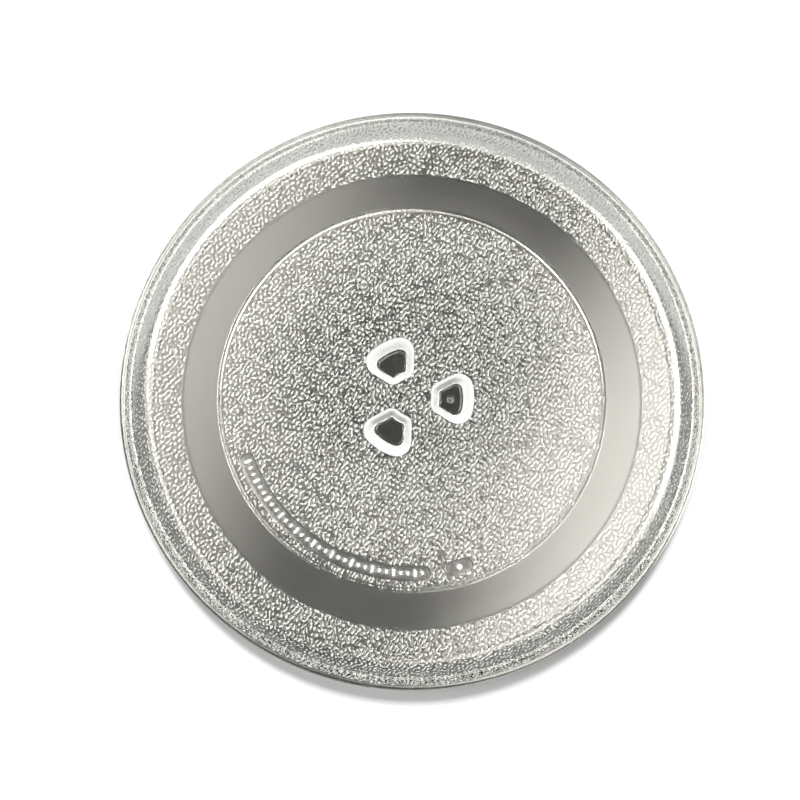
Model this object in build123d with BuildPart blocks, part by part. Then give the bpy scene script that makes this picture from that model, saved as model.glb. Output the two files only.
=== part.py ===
"""Pressed-glass turntable plate of a microwave oven: one solid, in millimetres.

The plate stands right side up. Z is its axis, and the origin is at its centre, level with the
tips of the three drive lugs on which it rests. From the middle outwards its section has a raised
disc, a step down to the floor with the roller track under it, a sloping wall and a lip with a
rounded edge. Ring widths are given from the edge inwards.
"""
import os
from math import radians, sin, tan

from build123d import *

# Rings of the plan, from the edge inwards.
PLATE_DIAMETER = 245.0
LIP_WIDTH = 5.2
WALL_RUN = 4.5
FLOOR_WIDTH = 15.8
TRACK_WIDTH = 14.8
STEP_RUN = 1.2

# Heights and thicknesses of the section.
DISC_THICKNESS = 5.0
FLOOR_THICKNESS = 4.6
LIP_THICKNESS = 4.0
DISC_RISE = 1.2
TRACK_PROUD = 0.4
TRACK_BEVEL = 0.5
RIM_DEPTH = 8.2
LIP_RISE = 0.5

# Roundings and bevels of the section.
WALL_FOOT_RADIUS = 4.2
WALL_UNDER_RADIUS = 7.0
LIP_BEND_BEVEL = 0.9
EDGE_RADIUS = 2.0
EDGE_BEVEL = 0.9

# Drive lugs, measured just above the bevel round their tips.
LUG_COUNT = 3
LUG_HEIGHT = 5.0
LUG_INNER_RADIUS = 11.2
LUG_OUTER_RADIUS = 22.0
LUG_HALF_ANGLE = 30.0
LUG_FLANK_OFFSET = 2.6
LUG_OUTER_CORNER = 3.2
LUG_INNER_CORNER = 1.2
LUG_TIP_BEVEL = 0.6
LUG_SPREAD = 1.6
LUG_ROOT_FLARE = 0.9
LUG_OUTER_LEAN = 1.5

# Smooth strips sunk in the patterned under face of the disc, near its edge.
STRIP_WIDTH = 6.0
STRIP_DEPTH = 0.3
STRIP_MARGIN = 3.6
STRIP_START = 203.3
STRIP_SWEEP = 72.4
STRIP_GAP = 9.6
SHORT_STRIP_SWEEP = 4.4

# Levels above the lug tips.
disc_under = LUG_HEIGHT
disc_top = disc_under + DISC_THICKNESS
floor_top = disc_top - DISC_RISE
floor_under = floor_top - FLOOR_THICKNESS
track_under = floor_under - TRACK_PROUD
lip_top = floor_top + RIM_DEPTH
lip_bend_top = lip_top - LIP_RISE

# Radii of the rings.
plate_radius = PLATE_DIAMETER / 2
lip_bend = plate_radius - LIP_WIDTH
wall_foot = lip_bend - WALL_RUN
track_outer = wall_foot - FLOOR_WIDTH
track_inner = track_outer - TRACK_WIDTH
disc_radius = track_inner - STEP_RUN
strip_radius = disc_radius - STRIP_MARGIN - STRIP_WIDTH / 2

# The wall is as thick as the floor, so its outer face is the inner one set out square to it.
wall_rise = lip_bend_top - floor_top
wall_lean = WALL_RUN / wall_rise
lip_slope = LIP_RISE / LIP_WIDTH
wall_set_out = FLOOR_THICKNESS * (1 + wall_lean**2) ** 0.5
wall_under = wall_foot + wall_set_out - FLOOR_THICKNESS * wall_lean
lip_under = wall_under + (lip_bend_top - LIP_THICKNESS - floor_under) * wall_lean


def draw_lug(spread):
    """Draw a lug's outline in the open sketch: a blunt wedge on +X, each side moved out by spread."""
    inner_radius = LUG_INNER_RADIUS - spread
    outer_radius = LUG_OUTER_RADIUS + spread * LUG_OUTER_LEAN
    apex = (LUG_FLANK_OFFSET - spread) / sin(radians(LUG_HALF_ANGLE))
    half_width = outer_radius * tan(radians(LUG_HALF_ANGLE))
    Circle(outer_radius)
    Circle(inner_radius, mode=Mode.SUBTRACT)
    Polygon(
        (apex, 0),
        (apex + outer_radius, -half_width),
        (apex + outer_radius, half_width),
        align=None,
        mode=Mode.INTERSECT,
    )
    fillet(vertices().sort_by(Axis.X)[2:], LUG_OUTER_CORNER + spread)
    fillet(vertices().sort_by(Axis.X)[:2], LUG_INNER_CORNER + spread)


# One drive lug, from its bevelled tip up its drafted sides to the flare at its root.
with BuildPart() as lug:
    with BuildSketch(Plane.XY):
        draw_lug(-LUG_TIP_BEVEL)
    with BuildSketch(Plane.XY.offset(LUG_TIP_BEVEL)):
        draw_lug(0)
    with BuildSketch(Plane.XY.offset(LUG_HEIGHT - LUG_ROOT_FLARE)):
        draw_lug(LUG_SPREAD)
    with BuildSketch(Plane.XY.offset(LUG_HEIGHT)):
        draw_lug(LUG_SPREAD + LUG_ROOT_FLARE)
    loft(ruled=True)

# The plate: its section turned about the axis, the lugs joined under it, the strips sunk in.
with BuildPart() as turntable_plate:
    with BuildSketch(Plane.XZ):
        with BuildLine():
            outline = FilletPolyline(
                (0, disc_top),
                (disc_radius, disc_top),
                (track_inner, floor_top),
                (wall_foot, floor_top),
                (lip_bend - LIP_BEND_BEVEL * wall_lean, lip_bend_top - LIP_BEND_BEVEL),
                (lip_bend + LIP_BEND_BEVEL, lip_bend_top + LIP_BEND_BEVEL * lip_slope),
                (plate_radius, lip_top),
                (plate_radius, lip_top - LIP_THICKNESS + EDGE_BEVEL),
                (plate_radius - EDGE_BEVEL, lip_top - LIP_THICKNESS - EDGE_BEVEL * lip_slope),
                (lip_under, lip_bend_top - LIP_THICKNESS),
                (wall_under, floor_under),
                (track_outer + TRACK_BEVEL, floor_under),
                (track_outer, track_under),
                (track_inner, track_under),
                (disc_radius, disc_under),
                (0, disc_under),
                radius=[0, 0, WALL_FOOT_RADIUS, 0, 0, EDGE_RADIUS, 0, 0, 0, WALL_UNDER_RADIUS, 0, 0, 0, 0],
            )
            Line(outline @ 1, outline @ 0)
        make_face()
    revolve(axis=Axis.Z)
    with PolarLocations(0, LUG_COUNT):
        add(lug.part)
    with BuildSketch(Plane.XY.offset(disc_under)):
        short_strip_start = STRIP_START + STRIP_SWEEP + STRIP_GAP
        for start, sweep in ((STRIP_START, STRIP_SWEEP), (short_strip_start, SHORT_STRIP_SWEEP)):
            with BuildLine(mode=Mode.PRIVATE) as strip_line:
                CenterArc((0, 0), strip_radius, start, sweep)
            SlotArc(strip_line.wire(), STRIP_WIDTH)
    extrude(amount=STRIP_DEPTH, mode=Mode.SUBTRACT)

turntable_plate.part.label = "turntable_plate"
os.makedirs("parts", exist_ok=True)
export_step(turntable_plate.part, "parts/turntable_plate.step")
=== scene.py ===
"""Turntable plate of a microwave oven in clear pressed glass, set in a plain photo studio.

One closed mesh stands for the plate: smooth on top, stippled underneath, with a smooth roller
track, three drive lugs and two smooth strips under its disc. Its sizes are in millimetres, in the
CAD frame: Z is the plate's axis, and the tips of the lugs are at zero. Blender's own lengths are
in metres, and meshes are scaled when they are made.
"""

import logging
import math
from collections.abc import Callable, Iterable, Mapping, Sequence
from dataclasses import dataclass, field
from enum import Enum, IntEnum

import bmesh
import bpy
import numpy as np
from mathutils import Matrix, Vector
from mathutils.geometry import delaunay_2d_cdt


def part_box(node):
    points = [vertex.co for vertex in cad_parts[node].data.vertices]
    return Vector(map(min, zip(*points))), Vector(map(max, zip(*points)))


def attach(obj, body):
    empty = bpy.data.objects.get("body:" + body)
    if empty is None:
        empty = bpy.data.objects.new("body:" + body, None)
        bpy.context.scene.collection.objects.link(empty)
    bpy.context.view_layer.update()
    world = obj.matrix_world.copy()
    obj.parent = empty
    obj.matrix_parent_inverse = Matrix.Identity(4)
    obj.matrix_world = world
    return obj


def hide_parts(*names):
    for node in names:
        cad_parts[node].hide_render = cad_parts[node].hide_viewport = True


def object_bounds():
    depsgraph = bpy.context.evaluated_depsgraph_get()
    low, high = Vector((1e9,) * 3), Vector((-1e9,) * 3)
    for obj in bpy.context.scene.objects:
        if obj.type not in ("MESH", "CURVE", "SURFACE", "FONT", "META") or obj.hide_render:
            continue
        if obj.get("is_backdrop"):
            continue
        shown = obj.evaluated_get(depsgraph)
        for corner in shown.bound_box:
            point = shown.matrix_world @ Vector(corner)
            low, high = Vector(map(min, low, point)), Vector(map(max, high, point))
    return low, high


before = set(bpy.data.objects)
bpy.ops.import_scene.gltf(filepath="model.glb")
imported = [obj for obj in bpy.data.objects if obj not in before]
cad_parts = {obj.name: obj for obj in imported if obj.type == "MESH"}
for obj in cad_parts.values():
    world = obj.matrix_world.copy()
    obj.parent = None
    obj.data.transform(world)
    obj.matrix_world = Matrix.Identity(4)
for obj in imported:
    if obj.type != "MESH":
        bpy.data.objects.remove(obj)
cad_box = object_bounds()

LOG = logging.getLogger("turntable_plate")
METRES_PER_MM = 0.001
FULL_TURN = 2 * math.pi
BODY = "root"
CAD_NODE = "turntable_plate"
PAINTED_HIGHLIGHT = "painted_highlight"
WHITE = (1.0, 1.0, 1.0)
NOISE_MIDDLE = 0.5
MERGE_DISTANCE = 1e-6
CHUNKS = 8
MIX_FIRST, MIX_SECOND, MIX_COLOUR = 6, 7, 2

Pair = tuple[float, float]
Colour = tuple[float, float, float]


class Finish(IntEnum):
    """Surfaces of the plate, numbered as the mesh's material slots."""

    TOP = 0
    SMOOTH_UNDER = 1
    # Stippled under face of the disc: glass tinted dark (painted shade) under the white painted
    # highlight.
    STIPPLED = 2
    # Stippled under side of lip, wall and floor: glass tinted darker still (painted shade) under
    # the white painted highlight.
    RIM = 3
    # White lug sides and ticks: painted highlight.
    FLANK = 4
    # Outer edge, clear glass tinted dark: painted shade.
    EDGE = 5


class Op(Enum):
    """Operations of the Math node that the shader expressions use."""

    ADD = "ADD"
    SUBTRACT = "SUBTRACT"
    MULTIPLY = "MULTIPLY"
    LESS_THAN = "LESS_THAN"
    ABSOLUTE = "ABSOLUTE"


class Value:
    """A shader socket that takes part in Python arithmetic."""

    def __init__(self, graph: "Graph", socket: bpy.types.NodeSocket) -> None:
        """Keep the socket and the graph that it belongs to."""
        self.graph = graph
        self.socket = socket

    def __add__(self, other: "Value | float") -> "Value":
        """Return self + other."""
        return self.graph.math(Op.ADD, self, other)

    def __radd__(self, other: float) -> "Value":
        """Return other + self."""
        return self.graph.math(Op.ADD, other, self)

    def __sub__(self, other: "Value | float") -> "Value":
        """Return self - other."""
        return self.graph.math(Op.SUBTRACT, self, other)

    def __rsub__(self, other: float) -> "Value":
        """Return other - self."""
        return self.graph.math(Op.SUBTRACT, other, self)

    def __mul__(self, other: "Value | float") -> "Value":
        """Return self * other."""
        return self.graph.math(Op.MULTIPLY, self, other)

    def __rmul__(self, other: float) -> "Value":
        """Return other * self."""
        return self.graph.math(Op.MULTIPLY, other, self)

    def __lt__(self, other: "Value | float") -> "Value":
        """Return 1 where self is below other, else 0."""
        return self.graph.math(Op.LESS_THAN, self, other)

    def __abs__(self) -> "Value":
        """Return the absolute value."""
        return self.graph.math(Op.ABSOLUTE, self)

    def ease(self, low: float, high: float, first: float = 0.0, last: float = 1.0) -> "Value":
        """Return a smooth change from first at low to last at high.

        Args:
            low: input at which the change starts.
            high: input at which it ends.
            first: output up to low.
            last: output from high on.

        Returns:
            The eased value.
        """
        return self.graph.node(
            "ShaderNodeMapRange",
            {"interpolation_type": "SMOOTHSTEP"},
            {"Value": self, "From Min": low, "From Max": high, "To Min": first, "To Max": last},
        )

    def fall(self, low: float, high: float) -> "Value":
        """Return a smooth fall from 1 at low to 0 at high."""
        return self.ease(low, high, 1.0, 0.0)


class Graph:
    """A node tree that is written as Python expressions."""

    def __init__(self, tree: bpy.types.NodeTree) -> None:
        """Start from an empty tree."""
        self.tree = tree
        self.tree.nodes.clear()

    def node(
        self,
        kind: str,
        settings: Mapping[str, object] | None = None,
        sockets: Mapping[str | int, object] | None = None,
        output: str | int = 0,
    ) -> Value:
        """Add a node.

        Args:
            kind: Blender's name of the node type.
            settings: properties of the node, set before its sockets.
            sockets: values or links of its inputs, by name or number.
            output: the output to return, by name or number.

        Returns:
            The chosen output, or for a node with no outputs its first input.
        """
        node = self.tree.nodes.new(kind)
        for name, setting in (settings or {}).items():
            setattr(node, name, setting)
        for name, value in (sockets or {}).items():
            if isinstance(value, Value):
                self.tree.links.new(value.socket, node.inputs[name])
            else:
                node.inputs[name].default_value = value
        return Value(self, node.outputs[output] if node.outputs else node.inputs[0])

    def math(self, operation: Op, *values: "Value | float") -> Value:
        """Add a Math node for an operation on values and return its result."""
        return self.node("ShaderNodeMath", {"operation": operation.value}, dict(enumerate(values)))

    def noise(self, where: Value, size: float, detail: float = 2.0) -> Value:
        """Return noise around one half.

        Args:
            where: coordinates in metres.
            size: size of its patches in millimetres.
            detail: number of finer layers.

        Returns:
            The noise factor.
        """
        sockets = {"Vector": where, "Scale": 1.0 / (size * METRES_PER_MM), "Detail": detail}
        return self.node("ShaderNodeTexNoise", {}, sockets)

    def unscattered(self) -> Value:
        """Return 1 for rays that have met no matt surface yet, else 0."""
        return self.node("ShaderNodeLightPath", {}, {}, "Diffuse Depth") < 1.0

    def mix_colour(self, factor: Value, first: Colour, second: Colour) -> Value:
        """Return a colour between first, at factor 0, and second, at factor 1."""
        return self.node(
            "ShaderNodeMix",
            {"data_type": "RGBA"},
            {0: factor, MIX_FIRST: (*first, 1.0), MIX_SECOND: (*second, 1.0)},
            output=MIX_COLOUR,
        )

    def mix_shader(self, factor: "Value | float", first: Value, second: Value) -> Value:
        """Return a shader between first, at factor 0, and second, at factor 1."""
        return self.node("ShaderNodeMixShader", {}, {0: factor, 1: first, 2: second})


def make_material(name: str, shader: Callable[[Graph], Value]) -> bpy.types.Material:
    """Make a material.

    Args:
        name: its name.
        shader: adds the material's shader to a graph and returns it.

    Returns:
        The material.
    """
    material = bpy.data.materials.new(name)
    material.use_nodes = True
    graph = Graph(material.node_tree)
    graph.node("ShaderNodeOutputMaterial", {}, {"Surface": shader(graph)})
    return material


def place_object(name: str, data: bpy.types.ID) -> bpy.types.Object:
    """Put a mesh, a lamp or a camera in the scene.

    Args:
        name: name of the object.
        data: what the object shows.

    Returns:
        The object.
    """
    placed = bpy.data.objects.new(name, data)
    bpy.context.scene.collection.objects.link(placed)
    return placed


@dataclass(frozen=True)
class PressedGlass:
    """Clear soda-lime glass as it leaves the press, with one surface finish.

    Attributes:
        name: name of the material.
        tint: colour that the glass gives to light that passes its surface.
        shade: that colour where the mould was worn.
        ior: refractive index.
        least_roughness: roughness where the mould was polished.
        most_roughness: roughness where it was worn.
        patch: size of the worn patches in millimetres.
        patch_edge: noise at which a worn patch starts, and at which it is fully worn.
        wave_height: height of the broad waves that the press leaves, in millimetres.
        wave_size: width of the waves in millimetres.
        shadow_share: share of the lamps' light that passes this surface.
    """

    name: str
    tint: Colour = (0.985, 0.99, 0.975)
    shade: Colour = (0.955, 0.965, 0.945)
    ior: float = 1.52
    least_roughness: float = 0.0
    most_roughness: float = 0.02
    patch: float = 14.0
    patch_edge: Pair = (0.35, 0.7)
    wave_height: float = 0.010
    wave_size: float = 16.0
    shadow_share: float = 0.0

    def surface(self, graph: Graph) -> Value:
        """Add the glass with its tint, roughness and waves.

        Args:
            graph: the graph to add to.

        Returns:
            The glass shader.
        """
        where = graph.node("ShaderNodeTexCoord", {}, {}, "Object")
        worn = graph.noise(where, self.patch, detail=4.0).ease(*self.patch_edge)
        waves = graph.noise(where, self.wave_size, detail=1.0)
        bump = {"Height": waves, "Distance": self.wave_height * METRES_PER_MM, "Strength": 1.0}
        spread = self.most_roughness - self.least_roughness
        return graph.node(
            "ShaderNodeBsdfPrincipled",
            {},
            {
                "Base Color": graph.mix_colour(worn, self.tint, self.shade),
                "Roughness": self.least_roughness + spread * worn,
                "IOR": self.ior,
                "Transmission Weight": 1.0,
                "Normal": graph.node("ShaderNodeBump", {}, bump),
            },
        )

    def lit_surface(self, graph: Graph) -> Value:
        """Add the surface and let a share of the lamps' light through it.

        Args:
            graph: the graph to add to.

        Returns:
            The shader of the material.
        """
        surface = self.surface(graph)
        if self.shadow_share > 0:
            by_shadow = graph.node("ShaderNodeLightPath", {}, {}, "Is Shadow Ray")
            clear = graph.node("ShaderNodeBsdfTransparent")
            surface = graph.mix_shader(self.shadow_share * by_shadow, surface, clear)
        return surface

    def build(self) -> bpy.types.Material:
        """Make the material and return it."""
        return make_material(self.name, self.lit_surface)


@dataclass(frozen=True)
class GlassWithPaintedHighlight(PressedGlass):
    """Pressed glass whose relief carries a white matt layer, lit by the lamps: painted highlight.

    Its white stands in for the glints of the stipple and the bright sides of the lugs.

    Attributes:
        painted_highlight: colour of the painted highlight on the grains.
        painted_highlight_shade: its colour between them.
        painted_highlight_start: strength in the mesh at which the painted highlight starts.
        painted_highlight_full: strength at which it is full.
        painted_highlight_roughness: roughness of the painted highlight between the grains.
        painted_highlight_gloss: specular level of the painted highlight.
        grain: size of the fine grain in millimetres.
        grain_weight: how far the grain moves the edge of the painted highlight.
        grain_height: height of the grain in millimetres.
        grain_roughness: roughness that the grain adds.
        normal_lift: how far the painted highlight's normal is turned up where the surface is steep,
            so that the lamps light it more.
    """

    painted_highlight: Colour = (0.96, 0.955, 0.90)
    painted_highlight_shade: Colour = (0.90, 0.895, 0.84)
    painted_highlight_start: float = 0.30
    painted_highlight_full: float = 0.60
    painted_highlight_roughness: float = 0.7
    painted_highlight_gloss: float = 0.2
    grain: float = 0.9
    grain_weight: float = 1.5
    grain_height: float = 0.02
    grain_roughness: float = 0.2
    normal_lift: float = 0.0

    def surface(self, graph: Graph) -> Value:
        """Add the glass with the painted highlight laid over it.

        Args:
            graph: the graph to add to.

        Returns:
            The mixed shader.
        """
        glass = super().surface(graph)
        where = graph.node("ShaderNodeTexCoord", {}, {}, "Object")
        grain = graph.noise(where, self.grain)
        strength = graph.node("ShaderNodeAttribute", {"attribute_name": PAINTED_HIGHLIGHT}, {}, "Fac")
        strength = strength + self.grain_weight * (grain - NOISE_MIDDLE)
        facing = graph.node("ShaderNodeNewGeometry", {}, {}, "Normal")
        up = (0.0, 0.0, self.normal_lift)
        lifted = graph.node("ShaderNodeVectorMath", {"operation": "ADD"}, {0: facing, 1: up})
        upright = graph.node("ShaderNodeVectorMath", {"operation": "NORMALIZE"}, {0: lifted})
        bump = {"Height": grain, "Distance": self.grain_height * METRES_PER_MM, "Strength": 1.0}
        # White matt layer, lit by the lamps, where the mesh's strength is high: painted highlight.
        white = graph.node(
            "ShaderNodeBsdfPrincipled",
            {},
            {
                "Base Color": graph.mix_colour(grain, self.painted_highlight_shade, self.painted_highlight),
                "Roughness": self.painted_highlight_roughness + self.grain_roughness * grain,
                "Specular IOR Level": self.painted_highlight_gloss,
                "Normal": graph.node("ShaderNodeBump", {}, {**bump, "Normal": upright}),
            },
        )
        return graph.mix_shader(strength.ease(self.painted_highlight_start, self.painted_highlight_full), glass, white)


@dataclass(frozen=True)
class PaleFloor:
    """Matt white table top that runs into a white backdrop away from the plate.

    Attributes:
        colour: colour of the table top.
        shade: colour of its faint mottling.
        patch: size of the mottling in millimetres.
        roughness: roughness of the table top.
        gloss: specular level of the table top.
        backdrop: distances from the axis, in millimetres, between which it runs into the backdrop.
    """

    colour: Colour = (0.97, 0.97, 0.97)
    shade: Colour = (0.96, 0.96, 0.96)
    patch: float = 60.0
    roughness: float = 0.85
    gloss: float = 0.1
    backdrop: Pair = (450.0, 1000.0)

    def surface(self, graph: Graph) -> Value:
        """Add the table top and its backdrop.

        Args:
            graph: the graph to add to.

        Returns:
            The mixed shader.
        """
        where = graph.node("ShaderNodeTexCoord", {}, {}, "Object")
        mottle = graph.noise(where, self.patch, detail=3.0)
        matt = graph.node(
            "ShaderNodeBsdfPrincipled",
            {},
            {
                "Base Color": graph.mix_colour(mottle, self.colour, self.shade),
                "Roughness": self.roughness,
                "Specular IOR Level": self.gloss,
            },
        )
        away = graph.node("ShaderNodeVectorMath", {"operation": "LENGTH"}, {0: where}, "Value")
        start, end = (distance * METRES_PER_MM for distance in self.backdrop)
        white = graph.node("ShaderNodeEmission", {}, {"Strength": 1.0})
        return graph.mix_shader(away.ease(start, end) * graph.unscattered(), matt, white)

    def build(self) -> bpy.types.Material:
        """Make the material and return it."""
        return make_material("pale_floor", self.surface)


@dataclass(frozen=True)
class Corner:
    """Corner of the plate's section.

    Attributes:
        r: distance from the axis.
        z: height above the lug tips.
        rounding: radius of the rounding at the corner.
    """

    r: float
    z: float
    rounding: float = 0.0


def turn_of(first: np.ndarray, second: np.ndarray) -> float:
    """Return the signed angle from one direction in a plane to another."""
    cross = first[0] * second[1] - first[1] * second[0]
    return math.atan2(cross, float(first @ second))


def trace(
    corners: Sequence[Corner], step: float | None, arc_turn: float, support: float
) -> np.ndarray:
    """Walk along a section with rounded corners.

    Args:
        corners: the corners in order, the ends among them.
        step: distance between points, or None where arcs decide.
        arc_turn: turn between two points of an arc, in radians, where step is None.
        support: distance from an arc to the point that keeps the flat beside it flat.

    Returns:
        Points of the walk, one row of r and z each.
    """
    spots = np.array([(c.r, c.z) for c in corners])
    walk = [spots[:1]]
    here = spots[0]
    for index in range(1, len(spots)):
        ahead = spots[index] - spots[index - 1]
        ahead /= np.linalg.norm(ahead)
        last = index == len(spots) - 1
        onward = ahead if last else spots[index + 1] - spots[index]
        onward = onward / np.linalg.norm(onward)
        turn = turn_of(ahead, onward)
        cut = corners[index].rounding * math.tan(abs(turn) / 2)
        stop = spots[index] - ahead * cut
        length = float(np.linalg.norm(stop - here))
        if step is None:
            beside = min(support, length / 3)
            shares = np.array([beside, length - beside, length]) / length
        else:
            shares = np.linspace(0, 1, max(1, round(length / step)) + 1)[1:]
        walk.append(here + shares[:, None] * (stop - here))
        if cut > 0:
            side = math.copysign(1.0, turn)
            inward = np.array([-ahead[1], ahead[0]]) * side
            centre = stop + inward * corners[index].rounding
            reach = corners[index].rounding * abs(turn)
            count = math.ceil(abs(turn) / arc_turn) if step is None else max(1, round(reach / step))
            angles = np.linspace(0, turn, count + 1)[1:]
            arm = stop - centre
            cosines, sines = np.cos(angles), np.sin(angles)
            turned = np.stack(
                [arm[0] * cosines - arm[1] * sines, arm[0] * sines + arm[1] * cosines], axis=1
            )
            walk.append(centre + turned)
            stop = centre + turned[-1]
        here = stop
    return np.concatenate(walk)


@dataclass(frozen=True)
class PlateSection:
    """Section of the plate from its axis to its edge and back underneath.

    It follows the CAD solid. Its bevels are made round, and the wall's foot is rounded more fully.

    Attributes:
        plate_radius: radius of the edge.
        lip_width: width of the lip.
        wall_run: width of the sloping wall.
        floor_width: width of the floor between the wall and the track.
        track_width: width of the roller track.
        step_run: width of the step up to the disc.
        disc_thickness: thickness of the disc.
        floor_thickness: thickness of the floor and of the wall.
        lip_thickness: thickness of the lip.
        disc_rise: height of the disc above the floor.
        track_proud: how far the track stands out under the floor.
        track_bevel: width of the bevel beside the track.
        rim_depth: height of the lip's edge above the floor.
        lip_rise: rise of the lip towards its edge.
        lug_height: height of the drive lugs.
        wall_foot_radius: rounding between floor and wall.
        wall_under_radius: rounding between floor and wall on the under side.
        lip_bend_radius: rounding between wall and lip.
        lip_under_radius: rounding between wall and lip on the under side.
        edge_radius: rounding of the edge on top.
        edge_under_radius: rounding of the edge on the under side.
        step_radius: rounding of the step and of the track beside it.
        track_radius: rounding of the track's bevel.
        stipple_margin: bare margin between the track's bevel and the stipple.
        disc_margin: bare margin of the disc's under face.
        rim_share: share of the lip's under side, beside the wall, that is stippled.
    """

    plate_radius: float
    lip_width: float = 5.2
    wall_run: float = 4.5
    floor_width: float = 15.8
    track_width: float = 14.8
    step_run: float = 1.2
    disc_thickness: float = 5.0
    floor_thickness: float = 4.6
    lip_thickness: float = 4.0
    disc_rise: float = 1.2
    track_proud: float = 0.4
    track_bevel: float = 0.5
    rim_depth: float = 8.2
    lip_rise: float = 0.5
    lug_height: float = 5.0
    wall_foot_radius: float = 6.5
    wall_under_radius: float = 7.0
    lip_bend_radius: float = 1.6
    lip_under_radius: float = 0.6
    edge_radius: float = 2.0
    edge_under_radius: float = 1.1
    step_radius: float = 0.5
    track_radius: float = 0.35
    stipple_margin: float = 0.2
    disc_margin: float = 0.6
    rim_share: float = 0.12

    @property
    def disc_under(self) -> float:
        """Height of the disc's under face."""
        return self.lug_height

    @property
    def disc_top(self) -> float:
        """Height of the disc's top face."""
        return self.disc_under + self.disc_thickness

    @property
    def floor_top(self) -> float:
        """Height of the floor inside the wall."""
        return self.disc_top - self.disc_rise

    @property
    def floor_under(self) -> float:
        """Height of the floor's under face."""
        return self.floor_top - self.floor_thickness

    @property
    def track_under(self) -> float:
        """Height of the roller track."""
        return self.floor_under - self.track_proud

    @property
    def lip_top(self) -> float:
        """Height of the lip's top at the edge, before its rounding."""
        return self.floor_top + self.rim_depth

    @property
    def lip_bend_top(self) -> float:
        """Height of the corner between wall and lip."""
        return self.lip_top - self.lip_rise

    @property
    def lip_bend(self) -> float:
        """Radius of the corner between wall and lip."""
        return self.plate_radius - self.lip_width

    @property
    def wall_foot(self) -> float:
        """Radius of the corner between floor and wall."""
        return self.lip_bend - self.wall_run

    @property
    def track_outer(self) -> float:
        """Outer radius of the roller track."""
        return self.wall_foot - self.floor_width

    @property
    def track_inner(self) -> float:
        """Inner radius of the roller track."""
        return self.track_outer - self.track_width

    @property
    def disc_radius(self) -> float:
        """Radius of the raised disc."""
        return self.track_inner - self.step_run

    @property
    def wall_lean(self) -> float:
        """Outward run of the wall per unit of its height."""
        return self.wall_run / (self.lip_bend_top - self.floor_top)

    @property
    def wall_under(self) -> float:
        """Radius of the corner between floor and wall on the under side."""
        set_out = self.floor_thickness * math.hypot(1.0, self.wall_lean)
        return self.wall_foot + set_out - self.floor_thickness * self.wall_lean

    @property
    def edge_under(self) -> float:
        """Height of the edge's under side, before its rounding."""
        return self.lip_top - self.lip_thickness

    @property
    def lip_under(self) -> Corner:
        """Corner between wall and lip on the under side."""
        height = self.lip_bend_top - self.lip_thickness
        run = (height - self.floor_under) * self.wall_lean
        return Corner(self.wall_under + run, height, self.lip_under_radius)

    @property
    def rim_start(self) -> Corner:
        """Where the stipple starts under the lip."""
        start = self.lip_under
        run = self.rim_share * (self.plate_radius - start.r)
        return Corner(start.r + run, start.z + self.rim_share * (self.edge_under - start.z))

    @property
    def rim_end(self) -> Corner:
        """Where the stipple ends beside the track."""
        return Corner(self.track_outer + self.track_bevel + self.stipple_margin, self.floor_under)

    @property
    def disc_end(self) -> Corner:
        """Edge of the stippled under face of the disc."""
        return Corner(self.disc_radius - self.disc_margin, self.disc_under)

    def top_corners(self) -> list[Corner]:
        """Return the smooth top, from the axis over the edge to the stipple under the lip."""
        return [
            Corner(0.0, self.disc_top),
            Corner(self.disc_radius, self.disc_top, self.step_radius),
            Corner(self.track_inner, self.floor_top, self.step_radius),
            Corner(self.wall_foot, self.floor_top, self.wall_foot_radius),
            Corner(self.lip_bend, self.lip_bend_top, self.lip_bend_radius),
            Corner(self.plate_radius, self.lip_top, self.edge_radius),
            Corner(self.plate_radius, self.edge_under, self.edge_under_radius),
            self.rim_start,
        ]

    def rim_corners(self) -> list[Corner]:
        """Return the stippled under side, from the lip down the wall to the track."""
        return [
            self.rim_start,
            self.lip_under,
            Corner(self.wall_under, self.floor_under, self.wall_under_radius),
            self.rim_end,
        ]

    def track_corners(self) -> list[Corner]:
        """Return the smooth under side, from the stippled floor over the track to the disc."""
        return [
            self.rim_end,
            Corner(self.track_outer + self.track_bevel, self.floor_under, self.track_radius),
            Corner(self.track_outer, self.track_under, self.track_radius),
            Corner(self.track_inner, self.track_under, self.step_radius),
            Corner(self.disc_radius, self.disc_under, self.step_radius),
            self.disc_end,
        ]


def fade(distance: np.ndarray, length: float) -> np.ndarray:
    """Return a smooth rise from 0 at distance 0 to 1 at length."""
    share = np.clip(distance / length, 0.0, 1.0)
    return share * share * (3.0 - 2.0 * share)


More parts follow.
